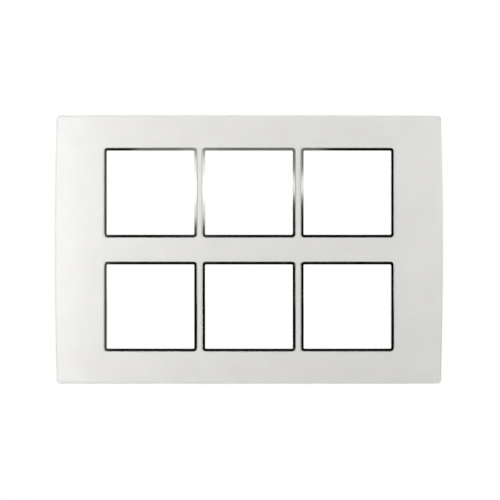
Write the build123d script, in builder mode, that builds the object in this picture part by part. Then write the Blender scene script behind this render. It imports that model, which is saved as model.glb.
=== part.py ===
from build123d import *
import os
from math import asin, cos, degrees, sin

# Cover plate for wall switches: six rimmed windows in two rows of three.
# It is one crowned moulding with a bright rim staked into each window from behind.
# Sizes are in millimetres. Seen from the front, X runs right, Z up and Y into the wall.
# The origin is the middle of the plate on the wall plane, so the face is on the -Y side.

# Windows
columns = 3
rows = 2
clear_width = 47.0  # free opening inside a rim
clear_height = 45.2
clear_radius = 0.5
window_gap = 0.1  # all round between a rim and its hole
window_edge = 0.25  # rounding of the hole's edge in the face

# The face round the windows
column_bar = 3.0  # between the rims of two columns
row_band = 13.1  # between the rims of two rows
side_margin = 27.0  # from the outer rims to the bowed side, at mid-height
end_margin = 17.75  # from the rims to the top and the bottom

# The moulding's outside
side_bow = 1.1  # swell of each side between its corners
corner_radius = 2.0
plate_depth = 11.0  # from the wall plane to the crest of the face
face_radius = 3500.0  # faint curve of the face from side to side, across the windows
margin_radius = 190.0  # stronger curve of the two side margins
draft_angle = 1.0  # degrees, so that the skirt narrows towards the face
edge_radius = 1.6  # round edge between skirt and face

# Its walls
skin = 2.4  # thickness behind the face
skirt_wall = 2.2
inner_corner_radius = 1.2
root_radius = 0.8  # inside rounding where the skirt meets the skin

# Rims
rim_face = 1.5  # width of the bright band
rim_radius = 1.8  # outer corners
rim_proud = 0.4  # in front of the face
rim_rounding = 0.1  # both front edges
flange_thickness = 1.0
flange_reach = 4.5  # above and below the band
seat_gap = 0.05  # between flange and skin, and flange and stake head

# Stakes that hold the rims
stake_diameter = 1.8
stake_hole_gap = 0.1  # all round
stake_spacing = 30.0  # between the two stakes of one flange
stake_head_diameter = 3.2
stake_head_height = 0.9
stake_head_rounding = 0.5

# Ribs behind the skin
rib_thickness = 1.0
rib_gap = 0.12  # between a rib and a rim's flange
recess_depth = 4.5  # left free behind the ribs for the grid frame

# Snap hooks that hold the plate on the grid frame
hook_width = 8.0
hook_thickness = 1.6
hook_gap = 2.0  # between hook and skirt, for the hook to bend
hook_tip = 1.0  # how far the tip stops short of the wall plane
hook_barb = 1.0
hook_lead = 1.2  # length of the barb's slope
hook_catch = 3.2  # from the wall plane to the barb's catching face

# Small marks of the moulding
notch_width = 10.0  # release notch in the bottom skirt
notch_depth = 1.6
ejector_diameter = 5.0
ejector_mark = 0.2

# Places and sizes that follow from the values above
rim_width = clear_width + 2 * rim_face
rim_height = clear_height + 2 * rim_face
hole_width = rim_width + 2 * window_gap
hole_height = rim_height + 2 * window_gap
column_pitch = rim_width + column_bar
row_pitch = rim_height + row_band
group_width = column_pitch * (columns - 1)
group_height = row_pitch * (rows - 1)
plate_width = group_width + rim_width + 2 * side_margin
plate_height = group_height + rim_height + 2 * end_margin
side_flange = (column_bar - rib_thickness) / 2 - rib_gap
flange_width = rim_width + 2 * side_flange
flange_height = rim_height + 2 * flange_reach
flange_inset = skin + seat_gap
head_inset = flange_inset + flange_thickness + seat_gap
shoulder = (group_width + flange_width) / 2  # where the face passes into a margin
shoulder_angle = asin(shoulder / face_radius)
margin_angle = asin(sin(shoulder_angle) + side_margin / margin_radius) - shoulder_angle
end_rib_x = (group_width + flange_width + rib_thickness) / 2 + rib_gap
end_rib_z = (group_height + flange_height + rib_thickness) / 2 + rib_gap
hook_x = plate_width / 2 - skirt_wall - hook_gap - hook_thickness
hook_z = plate_height / 2 - skirt_wall - hook_gap - hook_thickness
stake_z = (rim_height + flange_reach) / 2
ejector_x = (plate_width - side_margin) / 2

os.makedirs("parts", exist_ok=True)


def spread(pitch, count):
    """Places of count things, pitch apart, about the middle."""
    return [(i - (count - 1) / 2) * pitch for i in range(count)]


def plate_outline(inset, radius):
    """Front view of the plate, taken in by inset: straight top and bottom, bowed sides."""
    half_width = plate_width / 2 - inset
    half_height = plate_height / 2 - inset
    corner = half_width - side_bow
    with BuildSketch() as outline:
        with BuildLine():
            Line((-corner, half_height), (corner, half_height))
            ThreePointArc((corner, half_height), (half_width, 0), (corner, -half_height))
            Line((corner, -half_height), (-corner, -half_height))
            ThreePointArc((-corner, -half_height), (-half_width, 0), (-corner, half_height))
        make_face()
        fillet(outline.vertices(), radius)
    return outline.sketch


def crown_block(inset):
    """All that lies between the wall plane and the crown, inset behind the face."""
    crest = inset - plate_depth
    radius = face_radius - inset
    half_width = radius * sin(shoulder_angle)
    level = crest + radius * (1 - cos(shoulder_angle))
    with BuildPart() as block:
        with BuildSketch(Plane.XY):
            with BuildLine():
                across = ThreePointArc((-half_width, level), (0, crest), (half_width, level))
                right = JernArc(across @ 1, across % 1, margin_radius - inset, degrees(margin_angle))
                left = JernArc(across @ 0, -(across % 0), margin_radius - inset, -degrees(margin_angle))
                Polyline(right @ 1, ((right @ 1).X, 0), ((left @ 1).X, 0), left @ 1)
            make_face()
        extrude(amount=plate_height, both=True)
    return block.part


def crown_layer(front, back):
    """The curved slab between two depths behind the face."""
    with BuildPart() as layer:
        add(crown_block(front))
        add(crown_block(back), mode=Mode.SUBTRACT)
    return layer.part


def hook_plane(middle, outward):
    """Plane across a hook: its x points outward to the skirt and its y to the wall."""
    return Plane(origin=middle, x_dir=outward, z_dir=Vector(outward).cross(Vector(0, 1, 0)))


column_middles = spread(column_pitch, columns)
row_middles = spread(row_pitch, rows)
window_middles = [(x, z) for z in row_middles for x in column_middles]
stake_places = [
    (x + side, z + level)
    for x, z in window_middles
    for side in spread(stake_spacing, 2)
    for level in (-stake_z, stake_z)
]
hook_planes = [hook_plane((side * hook_x, 0, z), (side, 0, 0)) for side in (-1, 1) for z in row_middles]
hook_planes += [hook_plane((x, 0, side * hook_z), (0, 0, side)) for side in (-1, 1) for x in column_middles]

# Hollow behind the skin, inside the skirt
with BuildPart() as hollow:
    with BuildSketch(Plane.XZ):
        add(plate_outline(skirt_wall, inner_corner_radius))
    extrude(amount=plate_depth, taper=draft_angle)
    add(crown_block(skin), mode=Mode.INTERSECT)
    fillet(hollow.faces().sort_by(Axis.Y)[0].edges(), root_radius)

# Ribs: one between each two rows and columns, and one round the whole group
with BuildPart() as ribs:
    with BuildSketch(Plane.XZ.offset(recess_depth)):
        for x in spread(column_pitch, columns - 1) + [-end_rib_x, end_rib_x]:
            with Locations((x, 0)):
                Rectangle(rib_thickness, plate_height - skirt_wall)
        for z in spread(row_pitch, rows - 1) + [-end_rib_z, end_rib_z]:
            with Locations((0, z)):
                Rectangle(plate_width - 2 * side_bow - skirt_wall, rib_thickness)
    extrude(amount=plate_depth)
    add(crown_block(skin / 2), mode=Mode.INTERSECT)

# Snap hooks, level with the middle of each row and column of windows
with BuildPart() as hooks:
    for place in hook_planes:
        with BuildSketch(place):
            with BuildLine():
                Polyline(
                    (0, -plate_depth),
                    (hook_thickness, -plate_depth),
                    (hook_thickness, -hook_tip),
                    (0, -hook_tip),
                    (-hook_barb, -hook_tip - hook_lead),
                    (-hook_barb, -hook_catch),
                    (0, -hook_catch),
                    (0, -plate_depth),
                )
            make_face()
        extrude(amount=hook_width / 2, both=True)
    add(crown_block(skin / 2), mode=Mode.INTERSECT)

# Stakes: pins through the rims' flanges, with their ends melted to flat domes
with BuildPart() as stake_pins:
    with BuildSketch(Plane.XZ):
        with Locations(*stake_places):
            Circle(stake_diameter / 2)
    extrude(amount=plate_depth)
    add(crown_layer(skin / 2, head_inset + stake_head_height / 2), mode=Mode.INTERSECT)

with BuildPart() as stake_heads:
    with BuildSketch(Plane.XZ):
        with Locations(*stake_places):
            Circle(stake_head_diameter / 2)
    extrude(amount=plate_depth)
    add(crown_layer(head_inset, head_inset + stake_head_height), mode=Mode.INTERSECT)
    for head in stake_heads.solids():
        fillet(head.faces().sort_by(Axis.Y)[-1].edges(), stake_head_rounding)

# Round marks that the ejector pins leave in the side margins
with BuildPart() as ejector_marks:
    with BuildSketch(Plane.XZ):
        with GridLocations(2 * ejector_x, row_pitch, 2, rows):
            Circle(ejector_diameter / 2)
    extrude(amount=plate_depth)
    add(crown_layer(skin - ejector_mark, skin), mode=Mode.INTERSECT)

with BuildPart() as cover_plate:
    with BuildSketch(Plane.XZ):
        add(plate_outline(0, corner_radius))
    extrude(amount=plate_depth, taper=draft_angle)
    add(crown_block(0), mode=Mode.INTERSECT)
    fillet(cover_plate.faces().sort_by(Axis.Y)[0].edges(), edge_radius)
    add(hollow.part, mode=Mode.SUBTRACT)
    add(ribs.part)
    add(hooks.part)
    add(stake_pins.part)
    add(stake_heads.part)
    add(ejector_marks.part, mode=Mode.SUBTRACT)
    with BuildSketch(Plane.XZ):
        with Locations(*window_middles):
            RectangleRounded(hole_width, hole_height, rim_radius + window_gap)
    extrude(amount=plate_depth, mode=Mode.SUBTRACT)
    for hole in cover_plate.faces().sort_by(Axis.Y)[0].inner_wires():
        fillet(hole.edges(), window_edge)
    with BuildSketch(Plane.XZ):
        with Locations((0, -plate_height / 2)):
            Rectangle(notch_width, 3 * skirt_wall)
    extrude(amount=notch_depth, mode=Mode.SUBTRACT)
cover_plate.part.label = "cover_plate"
export_step(cover_plate.part, "parts/cover_plate.step")

# Rims: a band that stands in its window and a flange behind the skin
row_names = ["bottom", "top"]
column_names = ["left", "middle", "right"]
band_layer = crown_layer(-rim_proud, flange_inset + flange_thickness)
flange_layer = crown_layer(flange_inset, flange_inset + flange_thickness)
for row, z in zip(row_names, row_middles):
    for column, x in zip(column_names, column_middles):
        with BuildPart() as flange:
            with BuildSketch(Plane.XZ):
                with Locations((x, z)):
                    RectangleRounded(flange_width, flange_height, rim_radius)
                    RectangleRounded(clear_width, clear_height, clear_radius, mode=Mode.SUBTRACT)
                    with GridLocations(stake_spacing, 2 * stake_z, 2, 2):
                        Circle(stake_diameter / 2 + stake_hole_gap, mode=Mode.SUBTRACT)
            extrude(amount=plate_depth)
            add(flange_layer, mode=Mode.INTERSECT)
        with BuildPart() as rim:
            with BuildSketch(Plane.XZ):
                with Locations((x, z)):
                    RectangleRounded(rim_width, rim_height, rim_radius)
                    RectangleRounded(clear_width, clear_height, clear_radius, mode=Mode.SUBTRACT)
            extrude(amount=plate_depth + 2 * rim_proud)
            add(band_layer, mode=Mode.INTERSECT)
            fillet(rim.faces().sort_by(Axis.Y)[0].edges(), rim_rounding)
            add(flange.part)
        rim.part.label = f"rim_{row}_{column}"
        export_step(rim.part, f"parts/rim_{row}_{column}.step")
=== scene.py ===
import math

import bpy
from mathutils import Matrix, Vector

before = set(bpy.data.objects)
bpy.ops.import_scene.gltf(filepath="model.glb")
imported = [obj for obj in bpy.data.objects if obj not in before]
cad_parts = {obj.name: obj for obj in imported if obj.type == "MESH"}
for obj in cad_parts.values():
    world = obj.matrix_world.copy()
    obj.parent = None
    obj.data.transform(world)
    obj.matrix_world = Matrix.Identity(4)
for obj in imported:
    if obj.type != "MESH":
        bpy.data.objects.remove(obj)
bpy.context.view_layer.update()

MM = 0.001

# Camera: square on to the face, a little off the plate's middle as in the photograph
LENS = 135.0
CAMERA_DISTANCE = 1020 * MM
CAMERA_ASIDE = 0.6 * MM
CAMERA_DROP = 0.2 * MM
CAMERA_REACH = 50.0

# Floor: it shows a share of the plate's shadow out to the reach, and is plain white at the fade
FLOOR_LEVEL = -450 * MM
FLOOR_SIZE = 8.0
SHADOW_SHARE = 0.35
SHADOW_REACH = 0.5
FLOOR_FADE = 1.5

# Room: dark before the plate and white behind it, changing between these two Y values of the
# direction of view. Paint is lit by a share of it.
ROOM_DARK = 0.004
ROOM_TURN = (-0.15, 0.1)
ROOM_LIGHT = 0.12

# Colours as sRGB codes
PEARL = ("DEDDDA", "E4E3E0")
CHROME = "CAC9C7"
FLOOR_PAINT = "F4F4F2"
WHITE = "FFFFFF"

# Finishes: roughness from the glossiest spot to the dullest, and the values between which a
# noise mostly lies
PEARL_ROUGHNESS = (0.46, 0.54)
CHROME_ROUGHNESS = (0.05, 0.07)
POLYCARBONATE_IOR = 1.58
NOISE_RANGE = (0.35, 0.65)

# Patterns: real size, and for a relief its depth and strength
MICA_CLOUD = 14 * MM
MICA_FLAKE = 0.45 * MM
SPARK_GRAIN = 0.25 * MM
SPARK_DEPTH = 0.02 * MM
SPARK_STRENGTH = 0.12
MOULDING_ROLL = 9 * MM
ROLL_DEPTH = 0.01 * MM
ROLL_STRENGTH = 0.1
PLATING_HAZE = 3 * MM

# Soft lights. The windows and bounces shade the plastic. The lamps, the band and the curtain
# beside the camera are there for the chrome to mirror. The wall light shows the back.
# Name, place, point aimed at, width, height, watts
LIGHTS = (
    ("window_left", (-0.34, -0.36, 0.02), (-0.05, 0, 0), 0.25, 0.30, 1.86),
    ("window_right", (0.42, -0.24, 0.08), (0.08, 0, 0.01), 0.25, 0.25, 1.17),
    ("window_top", (-0.05, -0.30, 0.45), (0, 0, 0.02), 0.45, 0.25, 0.71),
    ("bounce_below", (0, 0.02, -0.42), (0, 0.02, 0), 0.50, 0.15, 0.55),
    ("bounce_above", (0, 0.02, 0.42), (0, 0.02, 0), 0.50, 0.15, 0.40),
    ("lamp_left_of_camera", (-0.070, -1.03, 0.066), (0, 0, 0), 0.05, 0.072, 0.0135),
    ("lamp_left_core", (-0.070, -1.03, 0.067), (0, 0, 0), 0.05, 0.028, 0.0048),
    ("lamp_right_of_camera", (0.070, -1.03, 0.070), (0, 0, 0), 0.06, 0.024, 0.0068),
    ("band_above_camera", (-0.028, -1.03, 0.1125), (0, 0, 0), 0.265, 0.055, 0.0115),
    ("curtain_left_of_camera", (-0.2325, -1.03, 0), (0, 0, 0), 0.075, 0.22, 0.0066),
    ("wall_light_behind", (0.50, 0.90, 0.40), (0, 0, 0), 0.60, 0.60, 4.2),
)


def linear(code):
    """An sRGB hex colour as the linear colour that a shader takes."""
    shares = [int(code[i:i + 2], 16) / 255 for i in (0, 2, 4)]
    return [s / 12.92 if s <= 0.04045 else ((s + 0.055) / 1.055) ** 2.4 for s in shares] + [1.0]


def add(tree, kind, inputs=None, **settings):
    """Adds a node, sets its settings, and gives each named or numbered input a value or a link."""
    node = tree.nodes.new(kind)
    for name, value in settings.items():
        setattr(node, name, value)
    for name, value in (inputs or {}).items():
        if isinstance(value, bpy.types.NodeSocket):
            tree.links.new(value, node.inputs[name])
        else:
            node.inputs[name].default_value = value
    return node


def calculate(tree, operation, first, second):
    """The result of a Math node on two values."""
    return add(tree, "ShaderNodeMath", {0: first, 1: second}, operation=operation).outputs[0]


def noise(tree, place, size, detail):
    """Noise with features of about this size."""
    inputs = {"Vector": place, "Scale": 1 / size, "Detail": detail}
    return add(tree, "ShaderNodeTexNoise", inputs).outputs["Fac"]


def between(tree, value, ends):
    """A value from 0 to 1, spread between two ends."""
    inputs = {"Value": value, "To Min": ends[0], "To Max": ends[1]}
    return add(tree, "ShaderNodeMapRange", inputs).outputs["Result"]


def relief(tree, height, depth, strength):
    """The normals of a surface with a shallow relief."""
    inputs = {"Height": height, "Distance": depth, "Strength": strength}
    return add(tree, "ShaderNodeBump", inputs).outputs["Normal"]


def new_material(name):
    """An empty material with its node tree and output node."""
    material = bpy.data.materials.new(name)
    material.use_nodes = True
    material.node_tree.nodes.clear()
    return material, material.node_tree, material.node_tree.nodes.new("ShaderNodeOutputMaterial")


def pearl_polycarbonate():
    """Polycarbonate, pearl-white all through, moulded in a lightly sparked tool: satin."""
    material, tree, output = new_material("pearl_polycarbonate")
    place = add(tree, "ShaderNodeTexCoord").outputs["Object"]
    # Mica flakes cloud the colour over some millimetres, and glint over a fraction of one
    cloud = noise(tree, place, MICA_CLOUD, detail=3.0)
    flake = noise(tree, place, MICA_FLAKE, detail=2.0)
    mean = calculate(tree, "MULTIPLY", calculate(tree, "ADD", cloud, flake), 0.5)
    colour = add(tree, "ShaderNodeValToRGB", {"Fac": mean})
    for stop, position, code in zip(colour.color_ramp.elements, NOISE_RANGE, PEARL):
        stop.position = position
        stop.color = linear(code)
    # The tool's sparked grain
    grain = noise(tree, place, SPARK_GRAIN, detail=3.0)
    shader = add(tree, "ShaderNodeBsdfPrincipled", {
        "Base Color": colour.outputs["Color"],
        "Roughness": between(tree, cloud, PEARL_ROUGHNESS),
        "IOR": POLYCARBONATE_IOR,
        "Normal": relief(tree, grain, SPARK_DEPTH, SPARK_STRENGTH),
    })
    tree.links.new(shader.outputs["BSDF"], output.inputs["Surface"])
    return material


def chrome_plating():
    """Bright chrome over nickel on a plastic moulding: a mirror with the moulding's faint roll."""
    material, tree, output = new_material("chrome_plating")
    place = add(tree, "ShaderNodeTexCoord").outputs["Object"]
    roll = noise(tree, place, MOULDING_ROLL, detail=1.0)
    haze = noise(tree, place, PLATING_HAZE, detail=3.0)
    shader = add(tree, "ShaderNodeBsdfPrincipled", {
        "Base Color": linear(CHROME),
        "Metallic": 1.0,
        "Roughness": between(tree, haze, CHROME_ROUGHNESS),
        "Normal": relief(tree, roll, ROLL_DEPTH, ROLL_STRENGTH),
    })
    tree.links.new(shader.outputs["BSDF"], output.inputs["Surface"])
    return material


def studio_floor():
    """Pale painted floor. To the camera, to mirrors and through glass it runs out to white."""
    material, tree, output = new_material("studio_floor")
    path = add(tree, "ShaderNodeLightPath").outputs
    place = add(tree, "ShaderNodeTexCoord").outputs["Object"]
    away = add(tree, "ShaderNodeVectorMath", {0: place}, operation="LENGTH")
    kept = add(tree, "ShaderNodeMapRange", {
        "Value": away.outputs["Value"],
        "From Min": SHADOW_REACH,
        "From Max": FLOOR_FADE,
        "To Min": SHADOW_SHARE,
        "To Max": 0.0,
    }, interpolation_type="SMOOTHSTEP").outputs["Result"]
    seen = calculate(tree, "MAXIMUM", path["Is Camera Ray"], path["Is Glossy Ray"])
    seen = calculate(tree, "MAXIMUM", seen, path["Is Transmission Ray"])
    paint = add(tree, "ShaderNodeBsdfDiffuse", {"Color": linear(FLOOR_PAINT)}).outputs[0]
    glow = add(tree, "ShaderNodeEmission", {"Color": linear(WHITE), "Strength": 1.0}).outputs[0]
    white = add(tree, "ShaderNodeMixShader", {0: kept, 1: glow, 2: paint}).outputs[0]
    surface = add(tree, "ShaderNodeMixShader", {0: seen, 1: paint, 2: white})
    tree.links.new(surface.outputs[0], output.inputs["Surface"])
    return material


def studio_world():
    """White to the camera and through glass.

    A mirror sees the room, white behind the plate and dark before it. Paint is lit by the same
    room, dimmed.
    """
    world = bpy.data.worlds.new("studio")
    world.use_nodes = True
    tree = world.node_tree
    tree.nodes.clear()
    path = add(tree, "ShaderNodeLightPath").outputs
    place = add(tree, "ShaderNodeTexCoord").outputs["Generated"]
    direction = add(tree, "ShaderNodeSeparateXYZ", {0: place})
    room = add(tree, "ShaderNodeMapRange", {
        "Value": direction.outputs["Y"],
        "From Min": ROOM_TURN[0],
        "From Max": ROOM_TURN[1],
        "To Min": ROOM_DARK,
        "To Max": 1.0,
    }).outputs["Result"]
    dim = calculate(tree, "MULTIPLY", room, ROOM_LIGHT)
    other = add(tree, "ShaderNodeMix", {"Factor": path["Is Glossy Ray"], "A": dim, "B": room})
    clear = calculate(tree, "MAXIMUM", path["Is Camera Ray"], path["Is Transmission Ray"])
    level = calculate(tree, "MAXIMUM", clear, other.outputs["Result"])
    light = add(tree, "ShaderNodeBackground", {"Color": linear(WHITE), "Strength": level})
    output = tree.nodes.new("ShaderNodeOutputWorld")
    tree.links.new(light.outputs[0], output.inputs["Surface"])
    bpy.context.scene.world = world


def soft_light(name, place, aim, width, height, watts):
    """A rectangular soft box that faces the point it is aimed at."""
    bpy.ops.object.select_all(action="DESELECT")
    bpy.ops.object.light_add(type="AREA", location=place)
    lamp = bpy.context.object
    lamp.name = name
    lamp.rotation_euler = (Vector(aim) - Vector(place)).to_track_quat("-Z", "Y").to_euler()
    lamp.data.shape = "RECTANGLE"
    lamp.data.size = width
    lamp.data.size_y = height
    lamp.data.energy = watts
    lamp.visible_camera = False


def dress(piece, material):
    """Gives a CAD piece its finish."""
    for slot in piece.material_slots:
        slot.material = material


dress(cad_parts["cover_plate"], pearl_polycarbonate())
chrome = chrome_plating()
for node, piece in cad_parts.items():
    if node.startswith("rim_"):
        dress(piece, chrome)

bpy.ops.object.select_all(action="DESELECT")
bpy.ops.mesh.primitive_plane_add(size=FLOOR_SIZE, location=(0, 0, FLOOR_LEVEL))
floor = bpy.context.object
floor.name = "floor"
floor.data.materials.append(studio_floor())

for light in LIGHTS:
    soft_light(*light)
studio_world()

# A camera looks down until it is turned up by a right angle, to look along +Y
bpy.ops.object.camera_add(
    location=(CAMERA_ASIDE, -CAMERA_DISTANCE, -CAMERA_DROP), rotation=(math.pi / 2, 0, 0))
camera = bpy.context.object
camera.data.lens = LENS
camera.data.clip_end = CAMERA_REACH
bpy.context.scene.camera = camera
bpy.context.scene.view_settings.view_transform = "Standard"
